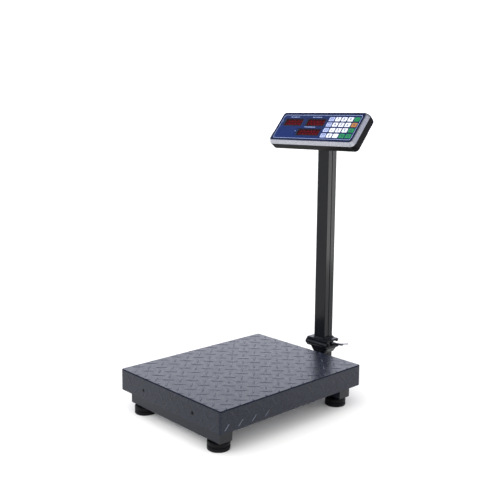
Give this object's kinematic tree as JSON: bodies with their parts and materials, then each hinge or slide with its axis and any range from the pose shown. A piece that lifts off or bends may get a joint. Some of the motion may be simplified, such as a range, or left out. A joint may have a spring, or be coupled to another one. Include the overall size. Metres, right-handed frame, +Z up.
{
  "type": "platform shipping scale",
  "caption": "Platform scale with a tread-plate deck on levelling feet, a folding rear column and a tilting head with displays and a keypad.",
  "frame": {"origin": "on the floor, under the middle of the whole footprint", "axes": "+Z up, -Y towards the operator in front of the deck, +X to the operator's right"},
  "size_m": [0.4, 0.6, 0.7892],
  "materials": {
    "deck_paint": "dark grey semi-gloss enamel on tread plate",
    "frame_paint": "dark powder coat",
    "cap_plastic": "moulded",
    "foot_rubber": "moulded rubber",
    "screw_steel": "zinc plated",
    "cell_aluminium": "anodised",
    "column_paint": "black gloss enamel",
    "hinge_paint": "black enamel on a casting",
    "bezel_silver": "silver-plated moulding",
    "housing_black": "fine-textured moulding",
    "face_blue": "printed polycarbonate overlay",
    "window_red": "red acrylic",
    "module_grey": "seven-segment modules",
    "board_green": "circuit board",
    "battery_grey": "battery case",
    "key_white": "key cap",
    "key_lilac": "key cap",
    "key_green": "key cap",
    "key_orange": "key cap"
  },
  "bodies": {
    "platform": {"cross_tubes": "frame_paint", "tube_end_caps": "cap_plastic", "centre_beam": "frame_paint", "cell_spacers": "screw_steel", "load_cell": "cell_aluminium", "deck_frame": "frame_paint", "deck_pads": "foot_rubber", "overload_stops": "screw_steel", "deck_cover": "deck_paint", "deck_screws": "screw_steel", "foot_nuts": "screw_steel", "column_bracket": "frame_paint", "frame_bolts": "screw_steel", "column_stub": "column_paint", "hinge_base": "hinge_paint", "hinge_pin": "screw_steel", "latch_screw": "screw_steel", "latch_spring": "screw_steel"},
    "column": {"column_tube": "column_paint", "hinge_flap": "hinge_paint", "clamp_screws": "screw_steel", "column_cap": "cap_plastic"},
    "latch": {"latch_lever": "hinge_paint", "latch_rod": "screw_steel"},
    "head": {"head_bezel": "bezel_silver", "rear_housing": "housing_black", "housing_screws": "screw_steel", "charger_socket": "foot_rubber", "face_panel": "face_blue", "display_windows": "window_red", "display_modules": "module_grey", "circuit_board": "board_green", "battery_pack": "battery_grey", "head_bracket": "frame_paint", "tilt_bolt": "screw_steel"},
    "power_rocker": {"power_rocker": "housing_black"},
    "foot_front_left": {"foot_front_left": "foot_rubber"},
    "foot_front_right": {"foot_front_right": "foot_rubber"},
    "foot_rear_left": {"foot_rear_left": "foot_rubber"},
    "foot_rear_right": {"foot_rear_right": "foot_rubber"},
    "key_row1_col1": {"key_row1_col1": "key_lilac"},
    "key_row1_col2": {"key_row1_col2": "key_white"},
    "key_row1_col3": {"key_row1_col3": "key_white"},
    "key_row1_col4": {"key_row1_col4": "key_white"},
    "key_row1_col5": {"key_row1_col5": "key_green"},
    "key_row2_col1": {"key_row2_col1": "key_lilac"},
    "key_row2_col2": {"key_row2_col2": "key_white"},
    "key_row2_col3": {"key_row2_col3": "key_white"},
    "key_row2_col4": {"key_row2_col4": "key_white"},
    "key_row2_col5": {"key_row2_col5": "key_orange"},
    "key_row3_col1": {"key_row3_col1": "key_lilac"},
    "key_row3_col2": {"key_row3_col2": "key_white"},
    "key_row3_col3": {"key_row3_col3": "key_white"},
    "key_row3_col4": {"key_row3_col4": "key_white"},
    "key_row3_col5": {"key_row3_col5": "key_green"},
    "key_row4_col1": {"key_row4_col1": "key_lilac"},
    "key_row4_col2": {"key_row4_col2": "key_white"},
    "key_row4_col3": {"key_row4_col3": "key_white"},
    "key_row4_col4": {"key_row4_col4": "key_green"},
    "key_row4_col5": {"key_row4_col5": "key_green"}
  },
  "joints": [
    {"name": "column_fold", "type": "hinge", "parent": "platform", "child": "column", "pos_m": [0, 0.25, 0.1195], "axis": [1, 0, 0], "range_deg": [0, 90]},
    {"name": "head_tilt", "type": "hinge", "parent": "column", "child": "head", "pos_m": [0, 0.276, 0.707], "axis": [1, 0, 0], "range_deg": [-20, 15]},
    {"name": "latch_swing", "type": "hinge", "parent": "platform", "child": "latch", "pos_m": [0.029, 0.281, 0.118], "axis": [0, 0, 1], "range_deg": [0, 22], "stiffness_Nm_per_rad": 0.05, "springref_deg": -17.19},
    {"name": "power_switch", "type": "hinge", "parent": "head", "child": "power_rocker", "pos_m": [-0.1, 0.23102, 0.70787], "axis": [0, -0.6366, -0.7712], "range_deg": [0, 11.5]},
    {"name": "foot_front_left_screw", "type": "slide", "parent": "platform", "child": "foot_front_left", "axis": [0, 0, -1], "range_m": [0, 0.01]},
    {"name": "foot_front_right_screw", "type": "slide", "parent": "platform", "child": "foot_front_right", "axis": [0, 0, -1], "range_m": [0, 0.01]},
    {"name": "foot_rear_left_screw", "type": "slide", "parent": "platform", "child": "foot_rear_left", "axis": [0, 0, -1], "range_m": [0, 0.01]},
    {"name": "foot_rear_right_screw", "type": "slide", "parent": "platform", "child": "foot_rear_right", "axis": [0, 0, -1], "range_m": [0, 0.01]},
    {"name": "key_row1_col1_press", "type": "slide", "parent": "head", "child": "key_row1_col1", "axis": [0, 0.7712, -0.6366], "range_m": [0, 0.0008], "stiffness_N_per_m": 400, "springref_m": -0.0008},
    {"name": "key_row1_col2_press", "type": "slide", "parent": "head", "child": "key_row1_col2", "axis": [0, 0.7712, -0.6366], "range_m": [0, 0.0008], "stiffness_N_per_m": 400, "springref_m": -0.0008},
    {"name": "key_row1_col3_press", "type": "slide", "parent": "head", "child": "key_row1_col3", "axis": [0, 0.7712, -0.6366], "range_m": [0, 0.0008], "stiffness_N_per_m": 400, "springref_m": -0.0008},
    {"name": "key_row1_col4_press", "type": "slide", "parent": "head", "child": "key_row1_col4", "axis": [0, 0.7712, -0.6366], "range_m": [0, 0.0008], "stiffness_N_per_m": 400, "springref_m": -0.0008},
    {"name": "key_row1_col5_press", "type": "slide", "parent": "head", "child": "key_row1_col5", "axis": [0, 0.7712, -0.6366], "range_m": [0, 0.0008], "stiffness_N_per_m": 400, "springref_m": -0.0008},
    {"name": "key_row2_col1_press", "type": "slide", "parent": "head", "child": "key_row2_col1", "axis": [0, 0.7712, -0.6366], "range_m": [0, 0.0008], "stiffness_N_per_m": 400, "springref_m": -0.0008},
    {"name": "key_row2_col2_press", "type": "slide", "parent": "head", "child": "key_row2_col2", "axis": [0, 0.7712, -0.6366], "range_m": [0, 0.0008], "stiffness_N_per_m": 400, "springref_m": -0.0008},
    {"name": "key_row2_col3_press", "type": "slide", "parent": "head", "child": "key_row2_col3", "axis": [0, 0.7712, -0.6366], "range_m": [0, 0.0008], "stiffness_N_per_m": 400, "springref_m": -0.0008},
    {"name": "key_row2_col4_press", "type": "slide", "parent": "head", "child": "key_row2_col4", "axis": [0, 0.7712, -0.6366], "range_m": [0, 0.0008], "stiffness_N_per_m": 400, "springref_m": -0.0008},
    {"name": "key_row2_col5_press", "type": "slide", "parent": "head", "child": "key_row2_col5", "axis": [0, 0.7712, -0.6366], "range_m": [0, 0.0008], "stiffness_N_per_m": 400, "springref_m": -0.0008},
    {"name": "key_row3_col1_press", "type": "slide", "parent": "head", "child": "key_row3_col1", "axis": [0, 0.7712, -0.6366], "range_m": [0, 0.0008], "stiffness_N_per_m": 400, "springref_m": -0.0008},
    {"name": "key_row3_col2_press", "type": "slide", "parent": "head", "child": "key_row3_col2", "axis": [0, 0.7712, -0.6366], "range_m": [0, 0.0008], "stiffness_N_per_m": 400, "springref_m": -0.0008},
    {"name": "key_row3_col3_press", "type": "slide", "parent": "head", "child": "key_row3_col3", "axis": [0, 0.7712, -0.6366], "range_m": [0, 0.0008], "stiffness_N_per_m": 400, "springref_m": -0.0008},
    {"name": "key_row3_col4_press", "type": "slide", "parent": "head", "child": "key_row3_col4", "axis": [0, 0.7712, -0.6366], "range_m": [0, 0.0008], "stiffness_N_per_m": 400, "springref_m": -0.0008},
    {"name": "key_row3_col5_press", "type": "slide", "parent": "head", "child": "key_row3_col5", "axis": [0, 0.7712, -0.6366], "range_m": [0, 0.0008], "stiffness_N_per_m": 400, "springref_m": -0.0008},
    {"name": "key_row4_col1_press", "type": "slide", "parent": "head", "child": "key_row4_col1", "axis": [0, 0.7712, -0.6366], "range_m": [0, 0.0008], "stiffness_N_per_m": 400, "springref_m": -0.0008},
    {"name": "key_row4_col2_press", "type": "slide", "parent": "head", "child": "key_row4_col2", "axis": [0, 0.7712, -0.6366], "range_m": [0, 0.0008], "stiffness_N_per_m": 400, "springref_m": -0.0008},
    {"name": "key_row4_col3_press", "type": "slide", "parent": "head", "child": "key_row4_col3", "axis": [0, 0.7712, -0.6366], "range_m": [0, 0.0008], "stiffness_N_per_m": 400, "springref_m": -0.0008},
    {"name": "key_row4_col4_press", "type": "slide", "parent": "head", "child": "key_row4_col4", "axis": [0, 0.7712, -0.6366], "range_m": [0, 0.0008], "stiffness_N_per_m": 400, "springref_m": -0.0008},
    {"name": "key_row4_col5_press", "type": "slide", "parent": "head", "child": "key_row4_col5", "axis": [0, 0.7712, -0.6366], "range_m": [0, 0.0008], "stiffness_N_per_m": 400, "springref_m": -0.0008}
  ]
}
